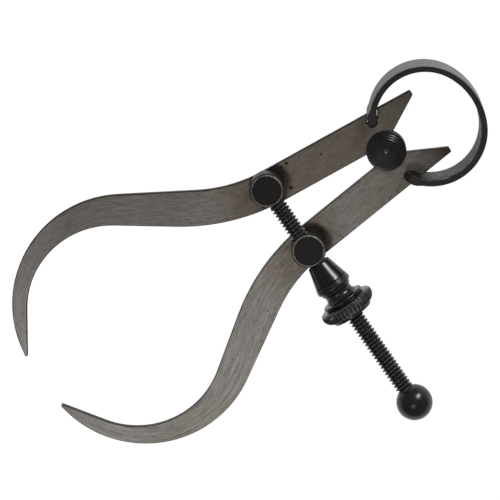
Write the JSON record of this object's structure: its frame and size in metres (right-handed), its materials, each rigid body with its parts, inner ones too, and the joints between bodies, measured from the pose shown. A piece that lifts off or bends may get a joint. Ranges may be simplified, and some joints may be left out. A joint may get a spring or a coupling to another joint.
{
  "type": "outside spring caliper",
  "caption": "Outside spring caliper: bowed flat legs on a grooved fulcrum roller, opened by a bow spring and set by a knurled nut on a screw between swivel posts.",
  "frame": {"origin": "on the fulcrum axis, at the back face of the fulcrum roller", "axes": "+X from the fulcrum to the measuring tips, +Y along the screw to the nut and ball, +Z from the back to the front with the posts"},
  "size_m": [0.1397, 0.1001, 0.0192],
  "materials": {
    "bare_steel": "bare brushed steel with a brown patina",
    "spring_steel": "tempered grey spring strip",
    "black_steel": "turned and black-oxidised"
  },
  "bodies": {
    "upper_leg": {"leg_upper": "bare_steel", "bow_spring": "spring_steel"},
    "lower_leg": {"leg_lower": "bare_steel"},
    "roller": {"fulcrum_roller": "black_steel"},
    "screw": {"anchor_post": "black_steel", "anchor_washer": "bare_steel", "adjusting_screw": "black_steel"},
    "guide": {"guide_post": "black_steel", "guide_washer": "bare_steel", "thrust_sleeve": "black_steel"},
    "nut": {"knurled_nut": "black_steel"}
  },
  "joints": [
    {"name": "nut_turn", "type": "hinge", "parent": "guide", "child": "nut", "pos_m": [0.0317, 0.026, 0.00693], "axis": [0, 1, 0], "range_deg": [-1445, 7860]},
    {"name": "leg_pivot", "type": "hinge", "parent": "upper_leg", "child": "lower_leg", "pos_m": [0, 0, 0.00243], "axis": [0, 0, 1], "range_deg": [-8.25, 44.85], "deforming": ["bow_spring"]},
    {"name": "anchor_swivel", "type": "hinge", "parent": "upper_leg", "child": "screw", "pos_m": [0.0317, -0.0098, 0.00243], "axis": [0, 0, 1], "range_deg": [-4.13, 22.43]},
    {"name": "guide_swivel", "type": "hinge", "parent": "lower_leg", "child": "guide", "pos_m": [0.0317, 0.0098, 0.00243], "axis": [0, 0, 1], "range_deg": [-22.43, 4.13]},
    {"name": "roller_turn", "type": "hinge", "parent": "upper_leg", "child": "roller", "pos_m": [0, 0, 0.00243], "axis": [0, 0, 1], "range_deg": [-4.13, 22.43]}
  ],
  "couplings": [
    {"joint": "leg_pivot", "follows": "nut_turn", "ratio": 0.0057},
    {"joint": "anchor_swivel", "follows": "nut_turn", "ratio": 0.00285},
    {"joint": "guide_swivel", "follows": "nut_turn", "ratio": -0.00285},
    {"joint": "roller_turn", "follows": "nut_turn", "ratio": 0.00285}
  ]
}
